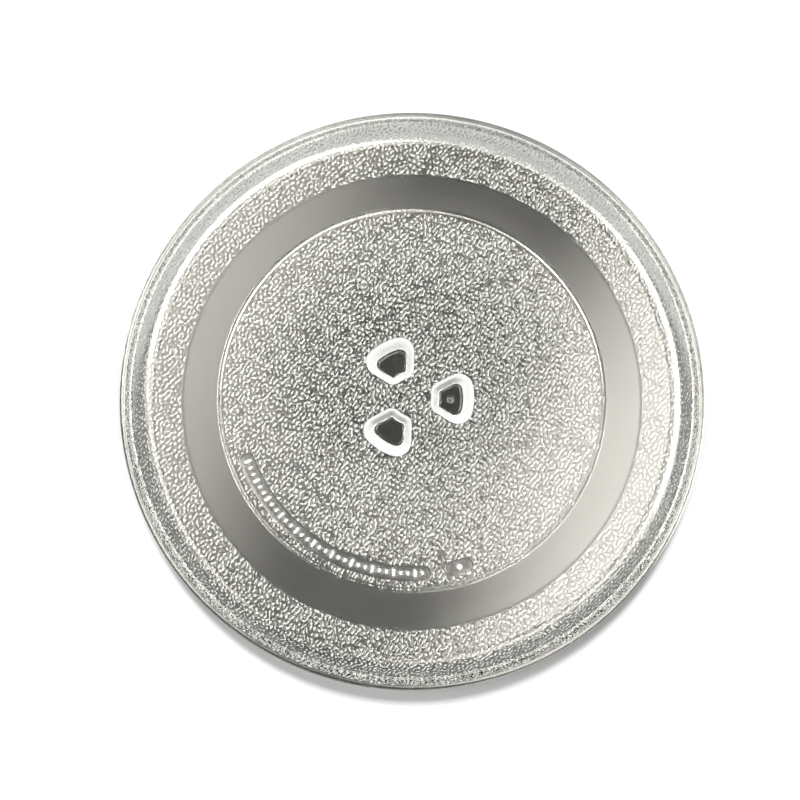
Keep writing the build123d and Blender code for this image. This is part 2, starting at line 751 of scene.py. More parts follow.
@dataclass
class Stipple:
    """Pebbled relief that the mould gives the under side.

    Attributes:
        seed: start of the random draws.
        waves: number of plane waves that are added up.
        shortest: shortest wavelength in millimetres.
        longest: longest wavelength in millimetres.
        height: usual height of the relief, its root mean square, in millimetres.
        fade_length: distance from a smooth part over which the relief rises.
        slant: direction of the flanks that get the painted highlight, as though light fell from
            that side.
        slant_weight: share of the slope in the painted highlight.
        height_weight: share of the height in the painted highlight.
        vectors: wave vectors of the plane waves.
        phases: their phases.
    """

    seed: int = 11
    waves: int = 56
    shortest: float = 1.4
    longest: float = 2.5
    height: float = 0.075
    fade_length: float = 0.5
    slant: Pair = (0.70, -0.71)
    slant_weight: float = 0.9
    height_weight: float = 0.45
    vectors: np.ndarray = field(init=False)
    phases: np.ndarray = field(init=False)

    def __post_init__(self) -> None:
        """Draw the waves."""
        draw = np.random.default_rng(self.seed)
        lengths = draw.uniform(self.shortest, self.longest, self.waves)
        angles = draw.uniform(0.0, math.pi, self.waves)
        numbers = FULL_TURN / lengths
        self.vectors = np.stack([numbers * np.cos(angles), numbers * np.sin(angles)])
        self.phases = draw.uniform(0.0, FULL_TURN, self.waves)

    def relief(self, places: np.ndarray) -> tuple[np.ndarray, np.ndarray]:
        """Work out the relief and its painted highlight, on the crests and, as light from one side,
        on the flanks that face one way.

        Args:
            places: places on the unrolled surface, one row of two each.

        Returns:
            The relief at each place, in parts of its usual height, and the strength of its painted
            highlight.
        """
        height = np.zeros(len(places))
        slope = np.zeros(len(places))
        # The flanks that face the slant get painted highlight, as though lit from that side.
        facing = self.slant[0] * self.vectors[0] + self.slant[1] * self.vectors[1]
        for chunk in np.array_split(np.arange(len(places)), CHUNKS):
            across, along = places[chunk, 0], places[chunk, 1]
            for x, y, phase, share in zip(*self.vectors, self.phases, facing):
                turn = across * x + along * y + phase
                height[chunk] += np.cos(turn)
                slope[chunk] += np.sin(turn) * share
        height *= math.sqrt(2.0 / self.waves)
        slope *= math.sqrt(2.0 / float(facing @ facing))
        return height, self.height_weight * height + self.slant_weight * slope


def spokes(angles: np.ndarray | float) -> np.ndarray:
    """Return the unit vector at an angle, or one row of two for each of several."""
    return np.stack([np.cos(angles), np.sin(angles)], axis=-1)


def even_angles(count: int, phase: float = 0.0) -> np.ndarray:
    """Return the angles of even steps round the axis, turned by a share of one step."""
    return (np.arange(count) + phase) * FULL_TURN / count


def at_height(outline: np.ndarray, z: float) -> np.ndarray:
    """Return the points of a flat outline at a height."""
    return np.column_stack([outline, np.full(len(outline), z)])


def arc_points(
    centre: np.ndarray, radius: float, start: float, end: float, count: int
) -> np.ndarray:
    """Return count points of an arc, both ends among them, with angles in radians."""
    return centre + radius * spokes(np.linspace(start, end, count))


def bend(first: Pair, corner: Pair, last: Pair, count: int) -> np.ndarray:
    """Draw a smooth bend.

    Args:
        first: where it starts.
        corner: the corner that it leans towards.
        last: where it ends.
        count: number of its points.

    Returns:
        Its points, one row of two each.
    """
    t = np.linspace(0.0, 1.0, count)[:, None]
    start, middle, end = np.array(first), np.array(corner), np.array(last)
    return (1 - t) ** 2 * start + 2 * t * (1 - t) * middle + t**2 * end


@dataclass(frozen=True)
class DriveLugs:
    """Three drafted wedges under the centre that a drive coupler turns.

    Outlines are measured just above the bevel at the tip, as in the CAD solid.

    Attributes:
        count: number of lugs.
        height: height of a lug.
        inner_radius: distance of its inner side from the axis.
        outer_radius: distance of its outer side from the axis.
        half_angle: angle between its middle line and a flank.
        flank_offset: distance by which a flank is set in from a line through the axis.
        outer_corner: rounding of the outer corners.
        inner_corner: rounding of the inner corners.
        tip_bevel: bevel round the tip.
        spread: how far the drafted sides spread from the tip to the root.
        root_flare: flare at the root.
        outer_lean: spread of the outer side, in parts of that of the others.
        flank_low: height above which the sides are white.
        tip_reach: distance of the tip's inner loop from its edge.
        rounding_steps: number of loops in the rounding of the tip and of the root.
        least_corner: least rounding of a corner.
        outer_count: points of half the outer side.
        outer_corner_count: points of an outer corner.
        flank_count: points of a flank.
        inner_corner_count: points of an inner corner.
        inner_count: points of half the inner side.
    """

    count: int = 3
    height: float = 5.0
    inner_radius: float = 11.2
    outer_radius: float = 22.0
    half_angle: float = math.radians(30.0)
    flank_offset: float = 2.6
    outer_corner: float = 3.2
    inner_corner: float = 1.2
    tip_bevel: float = 0.6
    spread: float = 1.6
    root_flare: float = 0.9
    outer_lean: float = 1.5
    # flank_low: height above which the sides carry the white painted highlight.
    flank_low: float = 0.35
    tip_reach: float = 0.3
    rounding_steps: int = 7
    least_corner: float = 0.05
    outer_count: int = 8
    outer_corner_count: int = 9
    flank_count: int = 10
    inner_corner_count: int = 7
    inner_count: int = 5

    def outline(self, spread: float) -> np.ndarray:
        """Draw the outline of the lug on +X.

        Args:
            spread: distance by which each side is moved out.

        Returns:
            Points of the closed outline, the same number for every spread.
        """
        inner = self.inner_radius - spread
        outer = self.outer_radius + spread * self.outer_lean
        offset = self.flank_offset - spread
        inner_corner = max(self.inner_corner + spread, self.least_corner)
        outer_corner = self.outer_corner + spread
        along = spokes(self.half_angle)
        square = np.array([along[1], -along[0]])
        outer_far = math.sqrt((outer - outer_corner) ** 2 - (offset + outer_corner) ** 2)
        inner_far = math.sqrt((inner + inner_corner) ** 2 - (offset + inner_corner) ** 2)
        outer_centre = outer_far * along + (offset + outer_corner) * square
        inner_centre = inner_far * along + (offset + inner_corner) * square
        outer_turn = math.atan2(outer_centre[1], outer_centre[0])
        inner_turn = math.atan2(inner_centre[1], inner_centre[0])
        flank_turn = math.atan2(-square[1], -square[0])
        back_turn = inner_turn + math.pi
        origin = np.zeros(2)
        reaches = np.linspace(outer_far, inner_far, self.flank_count)[1:-1, None]
        half = np.concatenate(
            [
                arc_points(origin, outer, 0.0, outer_turn, self.outer_count)[1:-1],
                arc_points(
                    outer_centre, outer_corner, outer_turn, flank_turn, self.outer_corner_count
                ),
                reaches * along + offset * square,
                arc_points(
                    inner_centre, inner_corner, flank_turn, back_turn, self.inner_corner_count
                ),
                arc_points(origin, inner, inner_turn, 0.0, self.inner_count)[1:-1],
            ]
        )
        mirrored = half[::-1] * (1.0, -1.0)
        return np.concatenate([[(outer, 0.0)], half, [(inner, 0.0)], mirrored])

    def levels(self) -> list[Pair]:
        """Work out the loops of a lug.

        Returns:
            Height and spread of each loop, from the lug's root to its flat tip.
        """
        draft = self.spread / (self.height - self.root_flare - self.tip_bevel)
        root_corner = draft * (self.height - self.tip_bevel)
        tip_corner = -draft * self.tip_bevel
        root_low = self.height - 2 * self.root_flare
        tip_high = 2 * self.tip_bevel
        root = bend(
            (self.height, root_corner + self.root_flare),
            (self.height, root_corner),
            (root_low, draft * (root_low - self.tip_bevel)),
            self.rounding_steps,
        )
        tip = bend(
            (tip_high, draft * (tip_high - self.tip_bevel)),
            (0.0, tip_corner),
            (0.0, tip_corner - self.tip_bevel),
            self.rounding_steps,
        )
        return [(float(z), float(s)) for z, s in (*root, *tip)]


@dataclass(frozen=True)
class MarkStrips:
    """Two smooth strips sunk in the stippled under face of the disc, with plain raised ticks.

    Attributes:
        width: width of a strip.
        depth: how deep it is sunk.
        margin: distance from the strips to the disc's edge.
        start: angle at which the long strip's middle line starts.
        sweep: angle of the long strip's middle line.
        gap: angle between the two middle lines.
        short_sweep: angle of the short strip's middle line.
        side_run: width of a strip's sloping side.
        point_step: distance between the points of an outline.
        least_count: least number of points along a side of a strip.
        least_cap_count: least number of points round an end of a strip.
        tick_pitch: distance between ticks.
        tick_length: length of a long tick.
        short_tick_length: length of a short tick.
        tick_width: width of a tick.
        tick_rise: height of a tick.
        tick_side: width of its sloping side.
        tick_cap_count: number of points round an end of a tick.
        long_tick_every: how many ticks there are for each long one.
        pip_radius: radius of the pip in the short strip.
        pip_count: number of points round the pip.
    """

    width: float = 6.0
    depth: float = 0.3
    margin: float = 3.6
    start: float = math.radians(203.3)
    sweep: float = math.radians(72.4)
    gap: float = math.radians(9.6)
    short_sweep: float = math.radians(4.4)
    side_run: float = 0.35
    point_step: float = 0.8
    least_count: int = 4
    least_cap_count: int = 6
    tick_pitch: float = 3.0
    tick_length: float = 2.9
    short_tick_length: float = 1.5
    tick_width: float = 0.95
    tick_rise: float = 0.26
    tick_side: float = 0.22
    tick_cap_count: int = 6
    long_tick_every: int = 3
    pip_radius: float = 1.0
    pip_count: int = 14

    def spans(self) -> list[Pair]:
        """Return start angle and sweep of each strip."""
        return [
            (self.start, self.sweep),
            (self.start + self.sweep + self.gap, self.short_sweep),
        ]

    def outline(self, radius: float, span: Pair, inset: float) -> np.ndarray:
        """Draw the outline of one strip.

        Args:
            radius: radius of the strip's middle line.
            span: start angle and sweep.
            inset: distance inside the strip's edge.

        Returns:
            Points of the closed outline.
        """
        start, sweep = span
        end, back = start + sweep, start + math.pi
        half = self.width / 2 - inset
        origin = np.zeros(2)
        count = max(self.least_count, round(radius * sweep / self.point_step))
        cap = max(self.least_cap_count, round(math.pi * half / self.point_step))
        return np.concatenate(
            [
                arc_points(origin, radius + half, start, end, count)[:-1],
                arc_points(radius * spokes(end), half, end, end + math.pi, cap)[:-1],
                arc_points(origin, radius - half, end, start, count)[:-1],
                arc_points(radius * spokes(start), half, back, start + FULL_TURN, cap)[:-1],
            ]
        )

    def tick_outline(self, radius: float, angle: float, length: float, grow: float) -> np.ndarray:
        """Draw a tick with round ends that lies along a radius of the plate.

        Args:
            radius: distance of its middle from the axis.
            angle: its angle round the axis.
            length: its length.
            grow: distance outside its top outline.

        Returns:
            Points of the closed outline.
        """
        half = self.tick_width / 2 + grow
        reach = max(length - self.tick_width, 0.0) / 2
        square = math.pi / 2
        end = np.array([reach, 0.0])
        right = arc_points(end, half, -square, square, self.tick_cap_count)
        left = arc_points(-end, half, square, 3 * square, self.tick_cap_count)
        local = np.concatenate([right, left])
        out = spokes(angle)
        side = np.array([-out[1], out[0]])
        return radius * out + local[:, :1] * out + local[:, 1:] * side

    def ticks(self, radius: float) -> list[tuple[np.ndarray, np.ndarray]]:
        """Draw the ticks in the long strip and the pip in the short one.

        Args:
            radius: radius of the strips' middle line.

        Returns:
            Foot and top outline of every tick, and at last of the pip.
        """
        (start, sweep), (short_start, short_sweep) = self.spans()
        count = int(radius * sweep / self.tick_pitch) + 1
        slack = sweep - (count - 1) * self.tick_pitch / radius
        grows = (self.tick_side, 0.0)
        marks = []
        for index in range(count):
            angle = start + slack / 2 + index * self.tick_pitch / radius
            is_long = index % self.long_tick_every == 0
            length = self.tick_length if is_long else self.short_tick_length
            foot, top = (self.tick_outline(radius, angle, length, grow) for grow in grows)
            marks.append((foot, top))
        middle = radius * spokes(short_start + short_sweep / 2)
        round_steps = spokes(even_angles(self.pip_count))
        foot, top = (middle + (self.pip_radius + grow) * round_steps for grow in grows)
        return [*marks, (foot, top)]


def near(points: np.ndarray, loop: np.ndarray, margin: float) -> np.ndarray:
    """Find the points in the box round an outline.

    Args:
        points: the points, one row of two each.
        loop: the corners of the outline.
        margin: distance by which the box is grown.

    Returns:
        The numbers of the points in the box.
    """
    low, high = loop.min(axis=0) - margin, loop.max(axis=0) + margin
    x, y = points[:, 0], points[:, 1]
    return np.flatnonzero((x > low[0]) & (x < high[0]) & (y > low[1]) & (y < high[1]))


def distance_to(points: np.ndarray, loop: np.ndarray, reach: float) -> np.ndarray:
    """Measure how far points are from a closed outline.

    Args:
        points: the points, one row of two each.
        loop: the corners of the outline.
        reach: distance from which on a point counts as far away.

    Returns:
        The distance of each point, at most reach.
    """
    result = np.full(len(points), reach)
    for chunk in np.array_split(near(points, loop, reach), CHUNKS):
        x, y = points[chunk, 0], points[chunk, 1]
        best = np.full(len(chunk), reach * reach)
        for (x0, y0), (x1, y1) in zip(loop, np.roll(loop, -1, axis=0)):
            run_x, run_y = x1 - x0, y1 - y0
            share = ((x - x0) * run_x + (y - y0) * run_y) / (run_x * run_x + run_y * run_y)
            share = np.clip(share, 0.0, 1.0)
            gap_x = x - x0 - share * run_x
            gap_y = y - y0 - share * run_y
            best = np.minimum(best, gap_x * gap_x + gap_y * gap_y)
        result[chunk] = np.sqrt(best)
    return result


def inside(points: np.ndarray, loop: np.ndarray) -> np.ndarray:
    """Find the points inside a closed outline.

    Args:
        points: the points, one row of two each.
        loop: the corners of the outline.

    Returns:
        For each point, whether it lies inside.
    """
    result = np.zeros(len(points), bool)
    for chunk in np.array_split(near(points, loop, 0.0), CHUNKS):
        x, y = points[chunk, 0], points[chunk, 1]
        within = np.zeros(len(chunk), bool)
        for (x0, y0), (x1, y1) in zip(loop, np.roll(loop, -1, axis=0)):
            if y0 != y1:
                crosses = (y0 > y) != (y1 > y)
                within ^= crosses & (x < x0 + (y - y0) * (x1 - x0) / (y1 - y0))
        result[chunk] = within
    return result


def inside_any(points: np.ndarray, loops: Iterable[np.ndarray]) -> np.ndarray:
    """Return for each point whether it lies inside one of several closed outlines."""
    return np.any([inside(points, loop) for loop in loops], axis=0)


@dataclass
class Ring:
    """Closed loop of vertices round the plate's axis.

    Attributes:
        vertices: numbers of the vertices.
        angles: their angles, which rise.
    """

    vertices: np.ndarray
    angles: np.ndarray


class Draft:
    """Vertices and faces of a mesh while it grows, in millimetres."""

    def __init__(self) -> None:
        """Start with nothing."""
        self.points: list[np.ndarray] = []
        self.painted_highlights: list[np.ndarray] = []
        self.faces: list[tuple[int, ...]] = []
        self.finishes: list[Finish] = []
        self.count = 0

    def add_points(self, points: np.ndarray, painted_highlight: np.ndarray | None = None) -> np.ndarray:
        """Add vertices.

        Args:
            points: their places, one row of three each.
            painted_highlight: the strength of the painted highlight on them, or None where there is
                none.

        Returns:
            The numbers of the new vertices.
        """
        numbers = np.arange(self.count, self.count + len(points))
        self.points.append(np.asarray(points, float))
        self.painted_highlights.append(np.zeros(len(points)) if painted_highlight is None else painted_highlight)
        self.count += len(points)
        return numbers

    def add_face(self, corners: Iterable[int], finish: Finish) -> None:
        """Add one face."""
        self.faces.append(tuple(int(c) for c in corners))
        self.finishes.append(finish)

    def bridge(self, first: np.ndarray, second: np.ndarray, finish: Finish) -> None:
        """Join two loops of the same number of vertices by quads.

        Args:
            first: one loop.
            second: the next one.
            finish: the surface of the new faces.
        """
        following = np.roll(first, -1), np.roll(second, -1)
        for quad in zip(first, following[0], following[1], second):
            self.add_face(quad, finish)

    def stitch(self, first: Ring, second: Ring, finish: Finish) -> None:
        """Join two rings, whatever their numbers of vertices, by quads or triangles.

        Args:
            first: one ring.
            second: the next one.
            finish: the surface of the new faces.
        """
        counts = len(first.vertices), len(second.vertices)
        if counts[0] == counts[1] and np.allclose(first.angles, second.angles):
            self.bridge(first.vertices, second.vertices, finish)
            return
        turns = [np.append(ring.angles, ring.angles[0] + FULL_TURN) for ring in (first, second)]
        i = j = 0
        while i < counts[0] or j < counts[1]:
            a, b = first.vertices[i % counts[0]], second.vertices[j % counts[1]]
            step_first = j == counts[1] or (i < counts[0] and turns[0][i + 1] <= turns[1][j + 1])
            if step_first:
                i += 1
                self.add_face((a, first.vertices[i % counts[0]], b), finish)
            else:
                j += 1
                self.add_face((a, second.vertices[j % counts[1]], b), finish)

    def fan(self, loop: np.ndarray, centre: int, finish: Finish) -> None:
        """Close a loop by triangles to one vertex."""
        for a, b in zip(loop, np.roll(loop, -1)):
            self.add_face((a, b, centre), finish)

    def build(self, name: str) -> bpy.types.Object:
        """Make the object, in metres, with outward normals and smooth shading.

        Args:
            name: name of the object and its mesh.

        Returns:
            The new object, in the scene.
        """
        mesh = bpy.data.meshes.new(name)
        places = np.concatenate(self.points) * METRES_PER_MM
        mesh.from_pydata(places.tolist(), [], self.faces)
        painted_highlight = mesh.attributes.new(PAINTED_HIGHLIGHT, "FLOAT", "POINT")
        painted_highlight.data.foreach_set("value", np.concatenate(self.painted_highlights).astype(np.float32))
        mesh.polygons.foreach_set("material_index", [int(f) for f in self.finishes])
        work = bmesh.new()
        work.from_mesh(mesh)
        bmesh.ops.recalc_face_normals(work, faces=work.faces)
        work.to_mesh(mesh)
        work.free()
        mesh.shade_smooth()
        return place_object(name, mesh)


@dataclass(frozen=True)
class DiscPlan:
    """Outlines in the under face of the disc.

    Attributes:
        roots: roots of the drive lugs.
        brims: edges of the strips.
        beds: edges of the strips' flat beds.
        feet: feet of the ticks and of the pip.
        tops: their tops.
    """

    roots: list[np.ndarray]
    brims: list[np.ndarray]
    beds: list[np.ndarray]
    feet: list[np.ndarray]
    tops: list[np.ndarray]

    def loops(self) -> list[np.ndarray]:
        """Return all outlines, in the order of the mesh."""
        return self.roots + self.brims + self.beds + self.feet + self.tops


@dataclass
class TurntablePlate:
    """The plate: its section turned about the axis, its stipple, its lugs and its strips.

    Attributes:
        section: the plate's section.
        lugs: the drive lugs.
        strips: the smooth strips with their ticks.
        stipple: the relief of the under side.
        smooth_count: number of vertices round a smooth ring.
        rim_count: number of vertices round a stippled ring.
        disc_count: number of vertices round the disc's edge.
        rim_step: distance between stippled rings.
        lattice: distance between the points of the disc's under face.
        clearance: least distance of these points from an outline.
        edge_width: width of the edge whose glass is tinted dark: painted shade.
        arc_turn: turn between two points of a rounding.
        support: distance from a rounding to the ring that keeps the flat beside it flat.
        dimpled_lug: number of the lug with a dimple in its tip.
        dimple_place: distance of the dimple from the axis.
        dimple_radii: radii of the loops round the dimple's middle.
        dimple_heights: heights of these loops.
        dimple_count: number of vertices of each of them.
    """

    section: PlateSection
    lugs: DriveLugs = field(default_factory=DriveLugs)
    strips: MarkStrips = field(default_factory=MarkStrips)
    stipple: Stipple = field(default_factory=Stipple)
    smooth_count: int = 240
    rim_count: int = 840
    disc_count: int = 660
    rim_step: float = 0.72
    lattice: float = 0.76
    clearance: float = 0.45
    edge_width: float = 1.9
    arc_turn: float = math.radians(10.0)
    support: float = 0.35
    dimpled_lug: int = 0
    dimple_place: float = 16.3
    dimple_radii: tuple[float, ...] = (1.75, 1.4, 1.2, 0.9, 0.7, 0.4)
    dimple_heights: tuple[float, ...] = (0.0, 0.0, 0.12, 0.12, 0.0, 0.0)
    dimple_count: int = 24

    def ring(self, draft: Draft, r: float, z: float, count: int) -> Ring:
        """Add a smooth ring.

        Args:
            draft: the mesh to add to.
            r: its radius.
            z: its height.
            count: number of its vertices.

        Returns:
            The ring.
        """
        angles = even_angles(count)
        return Ring(draft.add_points(at_height(r * spokes(angles), z)), angles)

    def add_top(self, draft: Draft) -> Ring:
        """Add the smooth top, over the edge to the stipple under the lip.

        Args:
            draft: the mesh to add to.

        Returns:
            The last ring, under the lip.
        """
        walk = trace(self.section.top_corners(), None, self.arc_turn, self.support)
        centre = int(draft.add_points(np.array([(0.0, 0.0, walk[0, 1])]))[0])
        rings = [self.ring(draft, r, z, self.smooth_count) for r, z in walk[1:]]
        draft.fan(rings[0].vertices, centre, Finish.TOP)
        edge = self.section.plate_radius - self.edge_width
        # The outermost rings get the dark edge glass: painted shade.
        for before, after, (r, _) in zip(rings, rings[1:], walk[2:]):
            draft.stitch(before, after, Finish.EDGE if r > edge else Finish.TOP)
        return rings[-1]

    def add_rim(self, draft: Draft, edge: Ring) -> Ring:
        """Add the stippled under side of lip, wall and floor.

        Args:
            draft: the mesh to add to.
            edge: the ring under the lip to start from.

        Returns:
            The last ring, beside the track.
        """
        walk = trace(self.section.rim_corners(), self.rim_step, self.arc_turn, self.support)
        steps = np.linalg.norm(np.diff(walk, axis=0), axis=1)
        passed = np.concatenate([[0.0], np.cumsum(steps)])
        unrolled = walk[-1, 0] + passed[-1] - passed
        tangents = np.gradient(walk, axis=0)
        tangents /= np.linalg.norm(tangents, axis=1)[:, None]
        before = edge
        for index in range(1, len(walk) - 1):
            # Every other ring is turned by half a step, which makes the triangles even.
            angles = even_angles(self.rim_count, phase=(index % 2) / 2)
            arms = spokes(angles)
            ends = min(passed[index], passed[-1] - passed[index])
            share = fade(np.array([ends]), self.stipple.fade_length)
            relief, painted_highlight = (share * part for part in self.stipple.relief(unrolled[index] * arms))
            lift = relief * self.stipple.height
            radii = walk[index, 0] - lift * tangents[index, 1]
            heights = walk[index, 1] + lift * tangents[index, 0]
            points = np.column_stack([radii[:, None] * arms, heights])
            ring = Ring(draft.add_points(points, painted_highlight), angles)
            draft.stitch(before, ring, Finish.RIM)
            before = ring
        last = self.ring(draft, *walk[-1], self.smooth_count)
        draft.stitch(before, last, Finish.RIM)
        return last

    def add_track(self, draft: Draft, start: Ring) -> Ring:
        """Add the smooth roller track and the step beside it.

        Args:
            draft: the mesh to add to.
            start: the ring beside the track to start from.

        Returns:
            The ring at the disc's edge.
        """
        walk = trace(self.section.track_corners(), None, self.arc_turn, self.support)
        before = start
        for r, z in walk[1:-1]:
            ring = self.ring(draft, r, z, self.smooth_count)
            draft.stitch(before, ring, Finish.SMOOTH_UNDER)
            before = ring
        last = self.ring(draft, *walk[-1], self.disc_count)
        draft.stitch(before, last, Finish.SMOOTH_UNDER)
        return last

    def lug_angle(self, lug: int) -> float:
        """Return the angle of a lug round the axis."""
        return lug * FULL_TURN / self.lugs.count

    def lug_outline(self, lug: int, spread: float) -> np.ndarray:
        """Return the outline of a lug in its place, each side moved out by spread."""
        out = spokes(self.lug_angle(lug))
        return self.lugs.outline(spread) @ np.array([out, (-out[1], out[0])])

    def lattice_points(self, radius: float) -> np.ndarray:
        """Lay out an even lattice of points.

        Args:
            radius: radius of the circle that they fill.

        Returns:
            The points, one row of two each.
        """
        row_step = self.lattice * math.sqrt(3) / 2
        row_reach = math.ceil(radius / row_step)
        column_reach = math.ceil(radius / self.lattice) + 1
        rows = np.arange(-row_reach, row_reach + 1)
        columns = np.arange(-column_reach, column_reach + 1)
        x = columns[None, :] * self.lattice + (rows[:, None] % 2) * self.lattice / 2
        y = np.broadcast_to(rows[:, None] * row_step, x.shape)
        points = np.stack([x.ravel(), y.ravel()], axis=1)
        return points[np.hypot(points[:, 0], points[:, 1]) < radius]

    def plan_disc(self) -> DiscPlan:
        """Draw the outlines in the disc's under face.

        Returns:
            The outlines.
        """
        strips = self.strips
        root_spread = self.lugs.levels()[0][1]
        radius = self.section.disc_radius - strips.margin - strips.width / 2
        ticks = strips.ticks(radius)
        return DiscPlan(
            roots=[self.lug_outline(lug, root_spread) for lug in range(self.lugs.count)],
            brims=[strips.outline(radius, span, 0.0) for span in strips.spans()],
            beds=[strips.outline(radius, span, strips.side_run) for span in strips.spans()],
            feet=[foot for foot, _ in ticks],
            tops=[top for _, top in ticks],
        )

    def fill_points(self, plan: DiscPlan) -> tuple[np.ndarray, np.ndarray]:
        """Lay out the points between the outlines, stippled but in the strips.

        Args:
            plan: the outlines.

        Returns:
            The points, one row of three each, and the strength of the painted highlight on them.
        """
        reach = self.section.disc_end.r
        free = self.lattice_points(reach - self.clearance)
        for loop in plan.loops():
            free = free[distance_to(free, loop, self.clearance) >= self.clearance]
        free = free[~inside_any(free, plan.roots + plan.feet)]
        in_strip = inside_any(free, plan.brims)
        room = reach - np.hypot(free[:, 0], free[:, 1])
        for loop in plan.roots + plan.brims:
            room = np.minimum(room, distance_to(free, loop, self.stipple.fade_length))
        share = fade(room, self.stipple.fade_length)
        relief, painted_highlight = (share * part for part in self.stipple.relief(free))
        painted_highlight[in_strip] = 0.0
        under = self.section.disc_under
        sunk = under + self.strips.depth
        heights = np.where(in_strip, sunk, under - relief * self.stipple.height)
        return np.column_stack([free, heights]), painted_highlight

    def add_disc(self, draft: Draft, edge: Ring) -> None:
        """Add the stippled under face of the disc with its strips and its lugs.

        Args:
            draft: the mesh to add to.
            edge: the ring at the disc's edge.
        """
        plan = self.plan_disc()
        under = self.section.disc_under
        sunk = under + self.strips.depth
        heights = [under] * len(plan.roots + plan.brims) + [sunk] * len(plan.beds + plan.feet)
        heights += [sunk - self.strips.tick_rise] * len(plan.tops)
        numbers = [edge.vertices]
        spots = [np.concatenate(draft.points)[edge.vertices][:, :2]]
        for loop, height in zip(plan.loops(), heights):
            numbers.append(draft.add_points(at_height(loop, height)))
            spots.append(loop)
        borders = []
        start = 0
        for spot in spots:
            count = len(spot)
            borders += [(start + k, start + (k + 1) % count) for k in range(count)]
            start += count
        points, painted_highlight = self.fill_points(plan)
        numbers.append(draft.add_points(points, painted_highlight))
        spots.append(points[:, :2])

        flat = np.concatenate(spots)
        number = np.concatenate(numbers)
        places = [Vector(spot) for spot in flat]
        _, _, triangles, sources, _, _ = delaunay_2d_cdt(places, borders, [], 0, MERGE_DISTANCE)
        corners = np.array([[sources[v][0] for v in triangle] for triangle in triangles])
        middles = flat[corners].mean(axis=1)
        keep = np.hypot(middles[:, 0], middles[:, 1]) < self.section.disc_end.r
        keep &= ~inside_any(middles, plan.roots)
        smooth = inside_any(middles, plan.brims)
        raised = inside_any(middles, plan.feet)
        for corner, is_smooth, is_raised in zip(number[corners[keep]], smooth[keep], raised[keep]):
            finish = Finish.SMOOTH_UNDER if is_smooth else Finish.STIPPLED
            # The ticks and the pip get the white lug-side finish: painted highlight.
            draft.add_face(corner, Finish.FLANK if is_raised else finish)
        for lug in range(self.lugs.count):
            self.add_lug(draft, lug, numbers[1 + lug])

    def add_lug(self, draft: Draft, lug: int, root: np.ndarray) -> None:
        """Add one drive lug.

        Args:
            draft: the mesh to add to.
            lug: its number.
            root: the vertices of its root in the disc's under face.
        """
        levels = self.lugs.levels()
        before = root
        for z, spread in levels[1:]:
            loop = draft.add_points(at_height(self.lug_outline(lug, spread), z))
            # Sides above flank_low get the white lug-side finish: painted highlight.
            is_flank = z > self.lugs.flank_low
            draft.bridge(before, loop, Finish.FLANK if is_flank else Finish.SMOOTH_UNDER)
            before = loop
        outline = self.lug_outline(lug, levels[-1][1] - self.lugs.tip_reach)
        inner = draft.add_points(at_height(outline, 0.0))
        draft.bridge(before, inner, Finish.SMOOTH_UNDER)
        middle = self.dimple_place * spokes(self.lug_angle(lug))
        arms = outline - middle
        turns = np.unwrap(np.arctan2(arms[:, 1], arms[:, 0]))
        last = Ring(inner, turns)
        steps = even_angles(self.dimple_count) + turns[0]
        for radius, depth in zip(self.dimple_radii, self.dimple_heights):
            z = depth if lug == self.dimpled_lug else 0.0
            ring = Ring(draft.add_points(at_height(middle + radius * spokes(steps), z)), steps)
            draft.stitch(last, ring, Finish.SMOOTH_UNDER)
            last = ring
        centre = int(draft.add_points(np.array([(*middle, 0.0)]))[0])
        draft.fan(last.vertices, centre, Finish.SMOOTH_UNDER)

    def build(self) -> bpy.types.Object:
        """Make the plate's mesh.

        Returns:
            The plate's object.
        """
        draft = Draft()
        edge = self.add_top(draft)
        floor = self.add_rim(draft, edge)
        disc = self.add_track(draft, floor)
        self.add_disc(draft, disc)
        return draft.build("pressed_plate")

    def dress(self, piece: bpy.types.Object) -> None:
        """Give the plate its finishes, in the order of the mesh's slots.

        Args:
            piece: the plate's object.
        """
        finishes = {
            Finish.TOP: PressedGlass("polished_top_glass", shadow_share=1.0),
            Finish.SMOOTH_UNDER: PressedGlass("smooth_under_glass", most_roughness=0.04),
            # The stippled glass is tinted dark, and the rim's darker still: painted shade on what
            # is seen through them, which also stands in for the light that the stipple scatters.
            Finish.STIPPLED: GlassWithPaintedHighlight(
                "stippled_glass", tint=(0.60, 0.60, 0.575), shade=(0.55, 0.55, 0.525)
            ),
            Finish.RIM: GlassWithPaintedHighlight(
                "stippled_rim_glass", tint=(0.42, 0.42, 0.40), shade=(0.37, 0.37, 0.35)
            ),
            # Lug sides and ticks white all round: painted highlight for the light that the glass
            # sends through them, with the normal turned up so that the lamps light it fully.
            Finish.FLANK: GlassWithPaintedHighlight(
                "lug_flank_glass",
                painted_highlight=(0.98, 0.98, 0.96),
                painted_highlight_shade=(0.96, 0.96, 0.94),
                painted_highlight_start=-1.2,
                painted_highlight_full=-0.2,
                grain=1.4,
                grain_weight=0.5,
                normal_lift=3.0,
            ),
            # The same clear glass as the top, tinted dark at the edge: painted shade.
            Finish.EDGE: PressedGlass(
                "edge_glass", tint=(0.26, 0.26, 0.245), shade=(0.22, 0.22, 0.205), shadow_share=1.0
            ),
        }
        for finish in sorted(finishes):
            piece.data.materials.append(finishes[finish].build())


